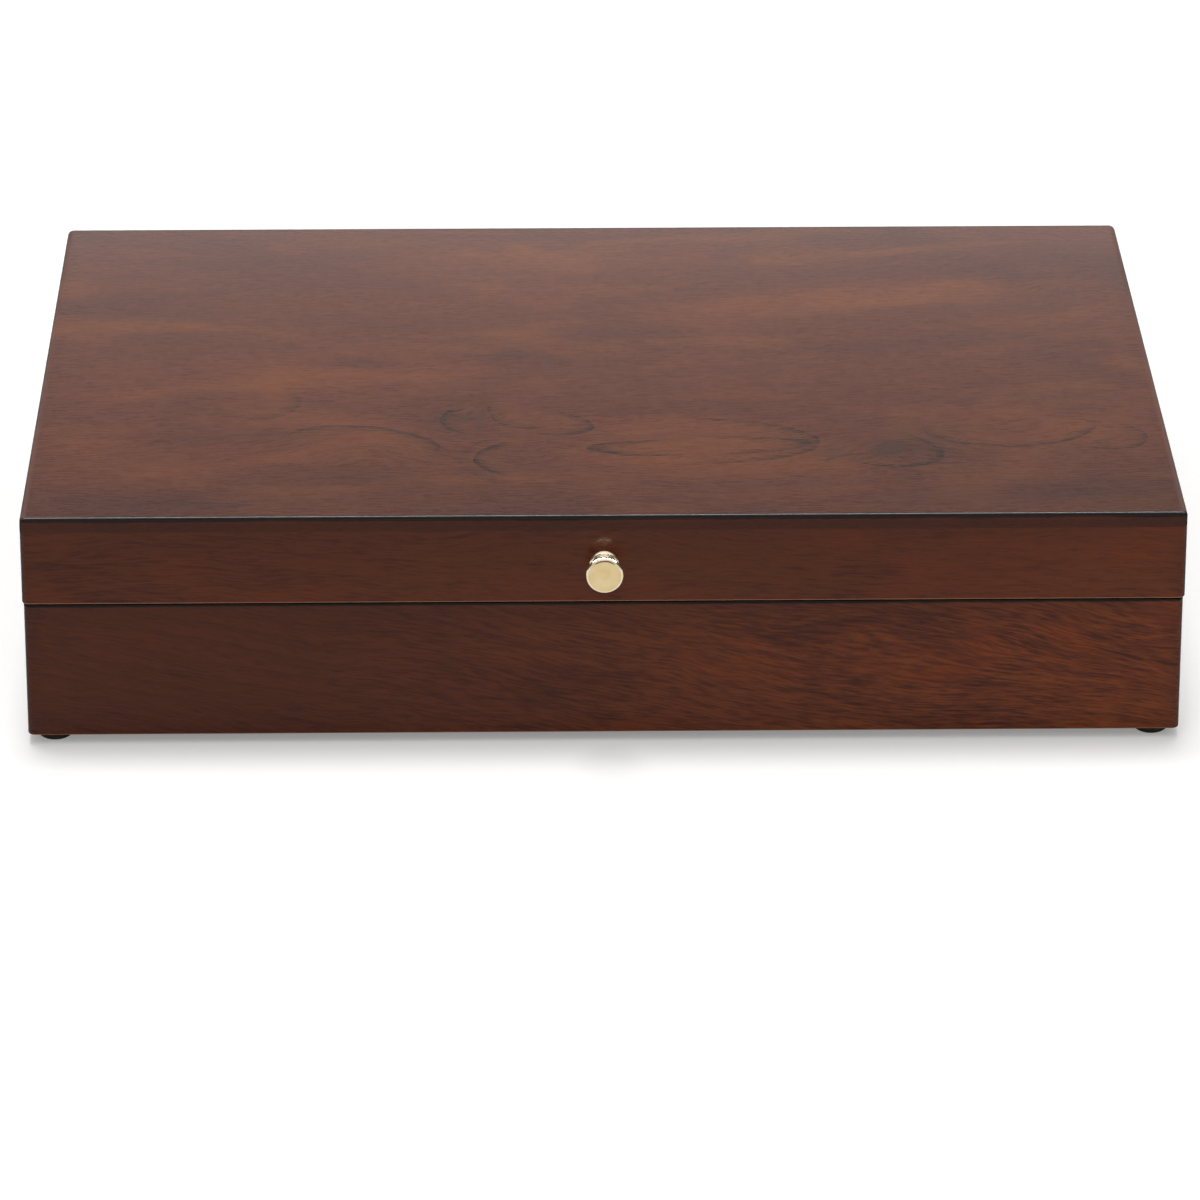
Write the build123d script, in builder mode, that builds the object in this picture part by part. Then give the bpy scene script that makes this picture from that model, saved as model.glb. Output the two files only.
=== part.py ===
"""Silverware chest: a hinged wooden box with a flatware rack in its base and a knife rack in its lid."""

from build123d import *
import math
import os

os.makedirs("parts", exist_ok=True)

# Millimetres. +X runs to the chest's right, -Y is its front and +Z is up. The origin lies on the surface
# that the feet stand on, under the middle of the whole outline, from the knob's face to the hinge tails.

# Box
base_width = 387.0
base_depth = 285.5
base_height = 47.5
base_wall = 10.0
lid_height = 30.7
lid_overhang = 0.5
lid_top_thickness = 5.0
seam_gap = 0.3
corner_radius = 2.4
lid_edge_radius = 1.7
arris_radius = 0.6

# Bottom panel and feet
panel_thickness = 5.0
panel_let_in = 5.0
panel_gap = 0.1
foot_diameter = 12.6
foot_face_diameter = 7.6
foot_height = 3.6
foot_land = 0.8
foot_inset = 8.8

# Base lining: padded boards inside the walls, which stand proud as a lip that locates the lid
liner_thickness = 6.0
lip_height = 5.5
liner_crown_radius = 2.3
pad_thickness = 2.5

# Flatware rack
rack_setback = 170.0
rack_thickness = 20.0
rack_height = 47.0
slot_width = 8.2
slot_depth = 35.0
slot_pitch = 36.0
slot_entry_radius = 4.0
rack_end_min = 24.0

# Lid lining and knife rack
lid_lining_thickness = 1.5
side_lining_thickness = 0.8
side_lining_inset = 1.0
lip_clearance = 0.3
rack_clearance = 1.2
board_height = 57.0
board_thickness = 5.0
board_edge_radius = 1.8
comb_height = 69.0
comb_spine = 8.0
knife_bay_width = 21.0
knife_pitch = 29.45
knife_bay_radius = 3.0
comb_end_min = 8.0

# Hinge cover: the strip of lining cloth that spans from the back lip to the knife rack
cover_thickness = 0.6
cover_drop = 0.8
cover_side_gap = 0.5

# Knob and its screw
knob_height = 13.4
knob_length = 10.3
knob_face_diameter = 12.6
knob_face_land = 0.5
knob_rim_radius = 0.8
knob_cone_length = 2.6
knob_waist_diameter = 5.6
knob_bell_diameter = 8.1
knob_neck_length = 3.8
knob_foot_diameter = 10.2
knob_foot_thickness = 1.1
knob_foot_radius = 0.95
knob_bore_depth = 6.0
knob_screw_radius = 1.75
knob_screw_reach = 5.2
knob_screw_head_radius = 3.4
knob_screw_head_height = 2.0
knob_counterbore_depth = 2.4
thread_gap = 0.02
hole_gap = 0.2

# Stop hinges: two butt hinges whose rear tails meet when the lid is fully open
hinge_offset = 112.0
leaf_length = 38.0
leaf_width = 7.4
leaf_thickness = 1.2
leaf_corner_radius = 1.0
knuckle_count = 5
knuckle_gap = 0.2
barrel_radius = 2.5
barrel_clearance = 0.3
pin_radius = 1.2
pin_press_gap = 0.01
pin_running_gap = 0.05
tail_length = 5.6
tail_thickness = 1.1
open_angle = 100.0
stop_clearance_angle = 0.5
mortise_gap = 0.1

# Countersunk wood screws that hold the hinge leaves
screw_pitch = 13.0
screw_shank_radius = 1.1
screw_head_radius = 2.1
screw_head_angle = 82.0
leaf_hole_gap = 0.1
screw_length = 8.0
screw_tip_length = 2.0

# Heights
base_bottom_z = foot_height
base_top_z = base_bottom_z + base_height
panel_top_z = base_bottom_z + panel_thickness
pad_top_z = panel_top_z + pad_thickness
lip_top_z = base_top_z + lip_height
lid_bottom_z = base_top_z + seam_gap
lid_wall_height = lid_height - lid_top_thickness
lid_ceiling_z = lid_bottom_z + lid_wall_height
axis_z = base_top_z + seam_gap / 2

# Depths. The hinge tails lie either side of the axis and swing together by the stop angle.
tail_angle = (open_angle + stop_clearance_angle) / 2
axis_setback = barrel_radius + barrel_clearance
back_reach = axis_setback + max(barrel_radius, tail_length * math.cos(math.radians(tail_angle)))
front_reach = lid_overhang + knob_length
base_center_y = (front_reach - back_reach) / 2
front_y = base_center_y - base_depth / 2
back_y = base_center_y + base_depth / 2
axis_y = back_y + axis_setback

# The lid's walls leave the lip its clearance at the back, and behind the side linings
lid_wall = base_wall - lip_clearance - max(0.0, side_lining_thickness - lid_overhang)
lid_width = base_width + 2 * lid_overhang
lid_depth = base_depth + lid_overhang
lid_front_y = back_y - lid_depth
lid_center_y = (lid_front_y + back_y) / 2
lid_opening_width = lid_width - 2 * lid_wall
lid_opening_depth = lid_depth - 2 * lid_wall

base_opening_width = base_width - 2 * base_wall
base_opening_depth = base_depth - 2 * base_wall
lined_width = base_opening_width - 2 * liner_thickness
lined_depth = base_opening_depth - 2 * liner_thickness

mitre_reach = 20.0


def save(piece, label):
    """Labels a finished piece and writes it as a STEP file of the same name."""
    piece.part.label = label
    export_step(piece.part, f"parts/{label}.step")


def mitre_wedge(side, width, depth, center_y, low_z, high_z):
    """Gives the block of space that one side of a mitred frame fills, out to its 45 degree ends."""
    first, second = {
        "front": ((-1, -1), (1, -1)),
        "right": ((1, -1), (1, 1)),
        "back": ((1, 1), (-1, 1)),
        "left": ((-1, 1), (-1, -1)),
    }[side]
    ends = ((first, mitre_reach), (second, mitre_reach), (second, -mitre_reach), (first, -mitre_reach))
    points = [(x * (width / 2 + reach), y * (depth / 2 + reach) + center_y) for (x, y), reach in ends]
    with BuildPart() as wedge:
        with BuildSketch(Plane.XY.offset(low_z)):
            with BuildLine():
                Polyline(*points, close=True)
            make_face()
        extrude(amount=high_z - low_z)
    return wedge.part


def front_plane(x, y, z):
    """Gives an upright sketch plane that faces the chest's front, with its own x to the right."""
    return Plane(origin=(x, y, z), x_dir=(1, 0, 0), z_dir=(0, -1, 0))


def side_plane(x, y, z):
    """Gives an upright sketch plane that faces +X, with its own x towards the chest's back."""
    return Plane(origin=(x, y, z), x_dir=(0, 1, 0), z_dir=(1, 0, 0))


# ---------------------------------------------------------------- base walls
# One rounded frame, rabbeted inside for the bottom panel, mitred into four walls.
with BuildPart() as base_frame:
    with BuildSketch(Plane.XY.offset(base_bottom_z)):
        with Locations((0, base_center_y)):
            RectangleRounded(base_width, base_depth, corner_radius)
    extrude(amount=base_height)
    rims = base_frame.edges().group_by(Axis.Z)
    fillet(rims[0] + rims[-1], radius=arris_radius)
    with BuildSketch(Plane.XY.offset(base_bottom_z)):
        with Locations((0, base_center_y)):
            Rectangle(base_opening_width, base_opening_depth)
    extrude(amount=base_height, mode=Mode.SUBTRACT)
    with BuildSketch(Plane.XY.offset(base_bottom_z)):
        with Locations((0, base_center_y)):
            Rectangle(base_opening_width + 2 * panel_let_in, base_opening_depth + 2 * panel_let_in)
    extrude(amount=panel_thickness, mode=Mode.SUBTRACT)


def base_wedge(side):
    return mitre_wedge(side, base_width, base_depth, base_center_y, base_bottom_z, base_top_z)


with BuildPart() as base_front_wall:
    add(base_frame.part)
    add(base_wedge("front"), mode=Mode.INTERSECT)
save(base_front_wall, "base_front_wall")

with BuildPart() as base_left_wall:
    add(base_frame.part)
    add(base_wedge("left"), mode=Mode.INTERSECT)
save(base_left_wall, "base_left_wall")

with BuildPart() as base_right_wall:
    add(base_frame.part)
    add(base_wedge("right"), mode=Mode.INTERSECT)
save(base_right_wall, "base_right_wall")

# The back wall's top edge is mortised for the hinge leaves and bored for their screws.
hinge_centers = (-hinge_offset, hinge_offset)
leaf_center_y = back_y - leaf_width / 2
screw_spots = [
    (center + step * screw_pitch, leaf_center_y) for center in hinge_centers for step in (-1, 0, 1)
]
mortise_length = leaf_length + 2 * mortise_gap
mortise_width = leaf_width + mortise_gap
mortise_center_y = back_y - mortise_width / 2
pilot_radius = screw_shank_radius + thread_gap

with BuildPart() as base_back_wall:
    add(base_frame.part)
    add(base_wedge("back"), mode=Mode.INTERSECT)
    with BuildSketch(Plane.XY.offset(base_top_z)):
        with Locations(*[(center, mortise_center_y) for center in hinge_centers]):
            Rectangle(mortise_length, mortise_width)
    extrude(amount=-leaf_thickness, mode=Mode.SUBTRACT)
    with BuildSketch(Plane.XY.offset(base_top_z)):
        with Locations(*screw_spots):
            Circle(pilot_radius)
    extrude(amount=-screw_length, mode=Mode.SUBTRACT)
save(base_back_wall, "base_back_wall")

# ---------------------------------------------------------------- bottom panel and feet
with BuildPart() as base_bottom_panel:
    with BuildSketch(Plane.XY.offset(base_bottom_z)):
        with Locations((0, base_center_y)):
            Rectangle(
                base_opening_width + 2 * (panel_let_in - panel_gap),
                base_opening_depth + 2 * (panel_let_in - panel_gap),
            )
    extrude(amount=panel_thickness)
save(base_bottom_panel, "base_bottom_panel")

foot_x = base_width / 2 - foot_inset
foot_y = base_depth / 2 - foot_inset
foot_places = {
    "foot_front_left": (-foot_x, base_center_y - foot_y),
    "foot_front_right": (foot_x, base_center_y - foot_y),
    "foot_back_left": (-foot_x, base_center_y + foot_y),
    "foot_back_right": (foot_x, base_center_y + foot_y),
}
for label, (x, y) in foot_places.items():
    # A domed rubber button: flat on top, a rounded flank and a flat face to stand on.
    with BuildPart() as foot:
        with BuildSketch(front_plane(x, y, 0)):
            with BuildLine():
                shoulder = (foot_diameter / 2, foot_height - foot_land)
                face_edge = (foot_face_diameter / 2, 0)
                Polyline((0, 0), (0, foot_height), (foot_diameter / 2, foot_height), shoulder)
                TangentArc(shoulder, face_edge, tangent=(0, -1))
                Line(face_edge, (0, 0))
            make_face()
        revolve(axis=Axis((x, y, 0), (0, 0, 1)))
    save(foot, label)

# ---------------------------------------------------------------- base lining
# One padded frame with a rounded crown, mitred into four boards.
with BuildPart() as liner_frame:
    with BuildSketch(Plane.XY.offset(panel_top_z)):
        with Locations((0, base_center_y)):
            Rectangle(base_opening_width, base_opening_depth)
            Rectangle(lined_width, lined_depth, mode=Mode.SUBTRACT)
    extrude(amount=lip_top_z - panel_top_z)
    fillet(liner_frame.edges().group_by(Axis.Z)[-1], radius=liner_crown_radius)

for side in ("front", "back", "left", "right"):
    with BuildPart() as liner:
        add(liner_frame.part)
        liner_wedge = mitre_wedge(
            side, base_opening_width, base_opening_depth, base_center_y, panel_top_z, lip_top_z
        )
        add(liner_wedge, mode=Mode.INTERSECT)
    save(liner, f"base_{side}_liner")

with BuildPart() as floor_pad:
    with BuildSketch(Plane.XY.offset(panel_top_z)):
        with Locations((0, base_center_y)):
            Rectangle(lined_width, lined_depth)
    extrude(amount=pad_thickness)
save(floor_pad, "floor_pad")

# ---------------------------------------------------------------- flatware rack
# A padded cross rail with round-bottomed slots, one for each stack of forks or spoons.
rack_front_y = front_y + rack_setback
rack_top_z = pad_top_z + rack_height
slot_room = lined_width - slot_width - 2 * rack_end_min
slot_count = int(slot_room // slot_pitch) + 1
slot_straight = slot_depth - slot_width / 2

with BuildPart() as flatware_rack:
    with BuildSketch(front_plane(0, rack_front_y, pad_top_z)) as rack_outline:
        Rectangle(lined_width, rack_height, align=(Align.CENTER, Align.MIN))
        with Locations((0, rack_height)):
            with GridLocations(slot_pitch, 0, slot_count, 1):
                Rectangle(slot_width, slot_straight, align=(Align.CENTER, Align.MAX), mode=Mode.SUBTRACT)
        with Locations((0, rack_height - slot_straight)):
            with GridLocations(slot_pitch, 0, slot_count, 1):
                Circle(slot_width / 2, mode=Mode.SUBTRACT)
        fillet(rack_outline.vertices().group_by(Axis.Y)[-1], radius=slot_entry_radius)
    extrude(amount=-rack_thickness)
save(flatware_rack, "flatware_rack")

# ---------------------------------------------------------------- lid walls and top
# One rounded frame under a full-size top panel, mitred into four walls.
with BuildPart() as lid_frame:
    with BuildSketch(Plane.XY.offset(lid_bottom_z)):
        with Locations((0, lid_center_y)):
            RectangleRounded(lid_width, lid_depth, corner_radius)
    extrude(amount=lid_wall_height)
    fillet(lid_frame.edges().group_by(Axis.Z)[0], radius=arris_radius)
    with BuildSketch(Plane.XY.offset(lid_bottom_z)):
        with Locations((0, lid_center_y)):
            Rectangle(lid_opening_width, lid_opening_depth)
    extrude(amount=lid_wall_height, mode=Mode.SUBTRACT)


def lid_wedge(side):
    return mitre_wedge(side, lid_width, lid_depth, lid_center_y, lid_bottom_z, lid_ceiling_z)


with BuildPart() as lid_left_wall:
    add(lid_frame.part)
    add(lid_wedge("left"), mode=Mode.INTERSECT)
save(lid_left_wall, "lid_left_wall")

with BuildPart() as lid_right_wall:
    add(lid_frame.part)
    add(lid_wedge("right"), mode=Mode.INTERSECT)
save(lid_right_wall, "lid_right_wall")

# The front wall is bored for the knob's screw and counterbored inside for the screw's head.
knob_z = lid_bottom_z + knob_height
lid_inner_front_y = lid_front_y + lid_wall

with BuildPart() as lid_front_wall:
    add(lid_frame.part)
    add(lid_wedge("front"), mode=Mode.INTERSECT)
    with BuildSketch(front_plane(0, lid_inner_front_y, knob_z)):
        Circle(knob_screw_head_radius + hole_gap)
    extrude(amount=knob_counterbore_depth, mode=Mode.SUBTRACT)
    with BuildSketch(front_plane(0, lid_inner_front_y, knob_z)):
        Circle(knob_screw_radius + hole_gap)
    extrude(amount=lid_wall, mode=Mode.SUBTRACT)
save(lid_front_wall, "lid_front_wall")

with BuildPart() as lid_back_wall:
    add(lid_frame.part)
    add(lid_wedge("back"), mode=Mode.INTERSECT)
    with BuildSketch(Plane.XY.offset(lid_bottom_z)):
        with Locations(*[(center, mortise_center_y) for center in hinge_centers]):
            Rectangle(mortise_length, mortise_width)
    extrude(amount=leaf_thickness, mode=Mode.SUBTRACT)
    with BuildSketch(Plane.XY.offset(lid_bottom_z)):
        with Locations(*screw_spots):
            Circle(pilot_radius)
    extrude(amount=screw_length, mode=Mode.SUBTRACT)
save(lid_back_wall, "lid_back_wall")

with BuildPart() as lid_top_panel:
    with BuildSketch(Plane.XY.offset(lid_ceiling_z)):
        with Locations((0, lid_center_y)):
            RectangleRounded(lid_width, lid_depth, corner_radius)
    extrude(amount=lid_top_thickness)
    fillet(lid_top_panel.edges().group_by(Axis.Z)[-1], radius=lid_edge_radius)
save(lid_top_panel, "lid_top_panel")

# ---------------------------------------------------------------- lid lining
lining_z = lid_ceiling_z - lid_lining_thickness
lining_low_z = lid_bottom_z + side_lining_inset
side_lining_height = lining_z - lining_low_z

with BuildPart() as lid_lining:
    with BuildSketch(Plane.XY.offset(lining_z)):
        with Locations((0, lid_center_y)):
            Rectangle(lid_opening_width, lid_opening_depth)
    extrude(amount=lid_lining_thickness)
save(lid_lining, "lid_lining")

with BuildPart() as lid_front_lining:
    with BuildSketch(Plane.XY.offset(lining_low_z)):
        with Locations((0, lid_inner_front_y)):
            Rectangle(lid_opening_width, side_lining_thickness, align=(Align.CENTER, Align.MIN))
    extrude(amount=side_lining_height)
save(lid_front_lining, "lid_front_lining")

side_lining_length = lid_opening_depth - side_lining_thickness
side_lining_y = lid_inner_front_y + side_lining_thickness
for label, x, towards_wall in (
    ("lid_left_lining", -lid_opening_width / 2, Align.MIN),
    ("lid_right_lining", lid_opening_width / 2, Align.MAX),
):
    with BuildPart() as side_lining:
        with BuildSketch(Plane.XY.offset(lining_low_z)):
            with Locations((x, side_lining_y)):
                Rectangle(side_lining_thickness, side_lining_length, align=(towards_wall, Align.MIN))
        extrude(amount=side_lining_height)
    save(side_lining, label)

# ---------------------------------------------------------------- knife rack
# A comb of blade bays against the lid lining, with a padded board across its lower part.
lid_inner_back_y = back_y - lid_wall
knife_rack_length = lid_opening_width - 2 * side_lining_thickness
rack_recess = lip_height - seam_gap + cover_thickness + rack_clearance
board_low_z = lid_bottom_z + rack_recess
comb_low_z = board_low_z + board_thickness
comb_thickness = lining_z - comb_low_z
bay_room = knife_rack_length - knife_bay_width - 2 * comb_end_min
knife_bay_count = int(bay_room // knife_pitch) + 1
bay_length = comb_height - comb_spine

with BuildPart() as knife_rack_comb:
    with BuildSketch(Plane.XY.offset(comb_low_z)) as comb_outline:
        with Locations((0, lid_inner_back_y)):
            Rectangle(knife_rack_length, comb_height, align=(Align.CENTER, Align.MAX))
        with Locations((0, lid_inner_back_y - comb_height)):
            with GridLocations(knife_pitch, 0, knife_bay_count, 1):
                Rectangle(knife_bay_width, bay_length, align=(Align.CENTER, Align.MIN), mode=Mode.SUBTRACT)
        tips_and_roots = comb_outline.vertices().group_by(Axis.Y)
        fillet(tips_and_roots[0] + tips_and_roots[1], radius=knife_bay_radius)
    extrude(amount=comb_thickness)
save(knife_rack_comb, "knife_rack_comb")

with BuildPart() as knife_rack_board:
    with BuildSketch(side_plane(-knife_rack_length / 2, lid_inner_back_y, board_low_z)) as board_section:
        Rectangle(board_height, board_thickness, align=(Align.MAX, Align.MIN))
        fillet(board_section.vertices().group_by(Axis.X)[0], radius=board_edge_radius)
    extrude(amount=knife_rack_length)
save(knife_rack_board, "knife_rack_board")

# ---------------------------------------------------------------- hinge cover
# Closed, the cloth lies on the inner half of the back lip: over its crown and a little way down its face.
back_lip_y = back_y - base_wall - liner_thickness
cover_length = lined_width - 2 * cover_side_gap
crown_start = lip_height - liner_crown_radius
cover_low = crown_start - cover_drop
cover_outer = -cover_thickness
cover_top = lip_height + cover_thickness
lip_middle = liner_thickness / 2
crown_center = (liner_crown_radius, crown_start)

with BuildPart() as hinge_cover:
    with BuildSketch(side_plane(-cover_length / 2, back_lip_y, base_top_z)):
        with BuildLine():
            Line((cover_outer, cover_low), (cover_outer, crown_start))
            CenterArc(crown_center, liner_crown_radius + cover_thickness, 90, 90)
            Polyline(
                (liner_crown_radius, cover_top),
                (lip_middle, cover_top),
                (lip_middle, lip_height),
                (liner_crown_radius, lip_height),
            )
            CenterArc(crown_center, liner_crown_radius, 90, 90)
            Polyline((0, crown_start), (0, cover_low), (cover_outer, cover_low))
        make_face()
    extrude(amount=cover_length)
save(hinge_cover, "hinge_cover")

# ---------------------------------------------------------------- knob
# A turned brass knob: a round-edged foot, a flat bell of elliptical outline on it, a straight neck, and
# a flat face with a rounded rim on a short cone.
face_radius = knob_face_diameter / 2
waist_radius = knob_waist_diameter / 2
bell_radius = knob_bell_diameter / 2
foot_radius = knob_foot_diameter / 2
rim_start = knob_length - knob_rim_radius
cone_top = rim_start - knob_face_land
cone_low = cone_top - knob_cone_length
foot_edge = knob_foot_thickness - knob_foot_radius
bell_arc = 90 - math.degrees(math.asin(waist_radius / bell_radius))
bell_end = cone_low - knob_neck_length
bell_reach = (bell_end - knob_foot_thickness) / math.sin(math.radians(bell_arc))

with BuildPart() as knob:
    with BuildSketch(side_plane(0, lid_front_y, knob_z)):
        with BuildLine():
            Polyline((-knob_length, 0), (0, 0), (0, foot_radius), (-foot_edge, foot_radius))
            CenterArc((-foot_edge, foot_radius - knob_foot_radius), knob_foot_radius, 90, 90)
            bell_start = (-knob_foot_thickness, bell_radius)
            Line((-knob_foot_thickness, foot_radius - knob_foot_radius), bell_start)
            bell = EllipticalCenterArc(
                (-knob_foot_thickness, 0), bell_reach, bell_radius, start_angle=90, arc_size=bell_arc
            )
            cone = ((-cone_low, waist_radius), (-cone_top, face_radius))
            Polyline(bell @ 1, *cone, (-rim_start, face_radius))
            CenterArc((-rim_start, face_radius - knob_rim_radius), knob_rim_radius, 90, 90)
            Line((-knob_length, face_radius - knob_rim_radius), (-knob_length, 0))
        make_face()
    revolve(axis=Axis((0, lid_front_y, knob_z), (0, 1, 0)))
    with BuildSketch(front_plane(0, lid_front_y, knob_z)):
        Circle(knob_screw_radius + thread_gap)
    extrude(amount=knob_bore_depth, mode=Mode.SUBTRACT)
save(knob, "knob")

# The screw's pan head bears on the counterbore's floor.
head_seat_y = lid_inner_front_y - knob_counterbore_depth
with BuildPart() as knob_screw:
    with BuildSketch(front_plane(0, head_seat_y, knob_z)):
        Circle(knob_screw_radius)
    extrude(amount=lid_wall - knob_counterbore_depth + knob_screw_reach)
    with BuildSketch(front_plane(0, head_seat_y, knob_z)):
        Circle(knob_screw_head_radius)
    extrude(amount=-knob_screw_head_height)
    fillet(knob_screw.edges().group_by(Axis.Y)[-1], radius=knob_screw_head_height / 2)
save(knob_screw, "knob_screw")

# ---------------------------------------------------------------- stop hinges
# The knuckles of a pair of leaves alternate on one pin. Behind its knuckles each leaf carries a tail. The
# tails stand apart while the lid is closed, and their flat faces meet when it is fully open.
knuckle_pitch = leaf_length / knuckle_count
knuckle_length = knuckle_pitch - knuckle_gap
tail_start = barrel_radius + barrel_clearance
leaf_hole_radius = screw_shank_radius + leaf_hole_gap


def tail_outline(near, far, side):
    """Gives a tail's corners between two distances from the pin: its stop face first, then its back."""
    angle = math.radians(tail_angle)
    outline = []
    for reach, depth in ((near, 0), (far, 0), (far, tail_thickness), (near, tail_thickness)):
        back = reach * math.cos(angle) - depth * math.sin(angle)
        away = reach * math.sin(angle) + depth * math.cos(angle)
        outline.append((back, side * away))
    return outline


def hinge_leaf(label, center, side, bore_radius):
    """Makes one leaf of a hinge. Side -1 is the base's leaf, below the pin, and side 1 is the lid's."""
    start_x = center - leaf_length / 2
    face_z = side * seam_gap / 2
    first_knuckle = 0 if side < 0 else 1
    with BuildPart() as leaf:
        with BuildSketch(Plane.XY.offset(axis_z + face_z)) as plate:
            with Locations((center, back_y)):
                Rectangle(leaf_length, leaf_width, align=(Align.CENTER, Align.MAX))
            fillet(plate.vertices().group_by(Axis.Y)[0], radius=leaf_corner_radius)
        extrude(amount=side * leaf_thickness)
        with BuildSketch(side_plane(start_x, axis_y, axis_z)):
            Polygon(*tail_outline(tail_start, tail_length, side), align=None)
        extrude(amount=leaf_length)
        for knuckle in range(first_knuckle, knuckle_count, 2):
            knuckle_x = start_x + knuckle * knuckle_pitch + knuckle_gap / 2
            with BuildSketch(side_plane(knuckle_x, axis_y, axis_z)):
                Circle(barrel_radius)
                with Locations((-axis_setback, face_z + side * leaf_thickness / 2)):
                    Rectangle(axis_setback, leaf_thickness, align=(Align.MIN, Align.CENTER))
                Polygon(*tail_outline(0, tail_start, side), align=None)
            extrude(amount=knuckle_length)
        with BuildSketch(side_plane(start_x, axis_y, axis_z)):
            Circle(bore_radius)
        extrude(amount=leaf_length, mode=Mode.SUBTRACT)
        spots = [(x, y, axis_z + face_z) for x, y in screw_spots if abs(x - center) < leaf_length / 2]
        with Locations(*[Plane(origin=spot, z_dir=(0, 0, -side)) for spot in spots]):
            CounterSinkHole(leaf_hole_radius, screw_head_radius, leaf_thickness, screw_head_angle)
    save(leaf, label)


for hand, center in zip(("left", "right"), hinge_centers):
    hinge_leaf(f"base_hinge_leaf_{hand}", center, -1, pin_radius + pin_press_gap)
    hinge_leaf(f"lid_hinge_leaf_{hand}", center, 1, pin_radius + pin_running_gap)
    with BuildPart() as hinge_pin:
        with BuildSketch(side_plane(center - leaf_length / 2, axis_y, axis_z)):
            Circle(pin_radius)
        extrude(amount=leaf_length)
    save(hinge_pin, f"hinge_pin_{hand}")

# ---------------------------------------------------------------- hinge screws
head_depth = (screw_head_radius - screw_shank_radius) / math.tan(math.radians(screw_head_angle / 2))
for label, side in (("base_hinge_screws", -1), ("lid_hinge_screws", 1)):
    with BuildPart() as screws:
        for x, y in screw_spots:
            with BuildSketch(front_plane(x, y, axis_z + side * seam_gap / 2)):
                Polygon(
                    (0, 0),
                    (screw_head_radius, 0),
                    (screw_shank_radius, side * head_depth),
                    (screw_shank_radius, side * (screw_length - screw_tip_length)),
                    (0, side * screw_length),
                    align=None,
                )
            revolve(axis=Axis((x, y, 0), (0, 0, 1)))
    save(screws, label)
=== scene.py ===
import math

import bmesh
import bpy
from mathutils import Matrix, Vector, noise


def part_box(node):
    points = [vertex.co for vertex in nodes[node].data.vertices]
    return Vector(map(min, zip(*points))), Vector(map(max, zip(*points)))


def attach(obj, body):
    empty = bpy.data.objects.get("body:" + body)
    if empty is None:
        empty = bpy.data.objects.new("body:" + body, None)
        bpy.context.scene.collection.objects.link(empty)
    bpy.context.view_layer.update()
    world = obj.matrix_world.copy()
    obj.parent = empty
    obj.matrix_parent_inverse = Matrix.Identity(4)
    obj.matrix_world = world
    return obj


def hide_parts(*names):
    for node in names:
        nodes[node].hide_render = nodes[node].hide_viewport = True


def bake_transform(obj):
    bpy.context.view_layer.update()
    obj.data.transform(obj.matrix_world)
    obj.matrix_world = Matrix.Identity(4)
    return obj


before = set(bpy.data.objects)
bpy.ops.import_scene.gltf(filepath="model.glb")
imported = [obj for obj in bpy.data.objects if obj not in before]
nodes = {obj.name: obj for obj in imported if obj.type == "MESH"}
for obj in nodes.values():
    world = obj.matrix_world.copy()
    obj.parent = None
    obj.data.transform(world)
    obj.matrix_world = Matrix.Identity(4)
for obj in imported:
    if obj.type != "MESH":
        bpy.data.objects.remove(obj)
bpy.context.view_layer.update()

scene = bpy.context.scene
mm = 0.001


def linear(hexColour):
    # sRGB hex to the linear colour that Blender's sockets take
    parts = [int(hexColour[i:i + 2], 16) / 255 for i in (1, 3, 5)]
    return [c / 12.92 if c <= 0.04045 else ((c + 0.055) / 1.055) ** 2.4 for c in parts] + [1.0]


def addNode(tree, kind, inputs=None, **settings):
    # inputs go by name, or as a list in the node's own order, a MapRange's being value, from low and high,
    # to low and high; each is a value, a node (its first output) or a socket; settings are its properties
    node = tree.nodes.new(kind if "Node" in kind else "ShaderNode" + kind)
    for key, value in settings.items():
        setattr(node, key, value)
    sockets = [s for s in node.inputs if s.enabled]
    inputs = inputs or {}
    for key, value in inputs.items() if isinstance(inputs, dict) else enumerate(inputs):
        socket = sockets[key] if isinstance(key, int) else next(s for s in sockets if s.name == key)
        if isinstance(value, bpy.types.Node):
            value = next(s for s in value.outputs if s.enabled)
        if isinstance(value, bpy.types.NodeSocket):
            tree.links.new(value, socket)
        else:
            socket.default_value = value
    return node


def newMaterial(name):
    material = bpy.data.materials.new(name)
    material.use_nodes = True
    material.node_tree.nodes.clear()
    return material, material.node_tree


def newObject(name, data):
    thing = bpy.data.objects.new(name, data)
    scene.collection.objects.link(thing)
    return thing


view = {
    "lens": 200.69,              # a long lens on a 36 mm sensor
    "pitch": 67.221,             # degrees from looking straight down
    "yaw": -0.902,
    "roll": 0.022,
    "distance": 2.382,
    "target": (0.00080, -0.00085, -0.00692),
}
turn = (Matrix.Rotation(math.radians(view["yaw"]), 4, "Z")
        @ Matrix.Rotation(math.radians(view["pitch"]), 4, "X")
        @ Matrix.Rotation(math.radians(view["roll"]), 4, "Z"))
camera = newObject("camera", bpy.data.cameras.new("camera"))
camera.data.lens = view["lens"]
camera.data.sensor_width = 36
camera.data.clip_end = 20
standing = Vector(view["target"]) + turn.to_3x3() @ Vector((0, 0, view["distance"]))
camera.matrix_world = Matrix.Translation(standing) @ turn
scene.camera = camera
scene.view_settings.view_transform = "Standard"

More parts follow.
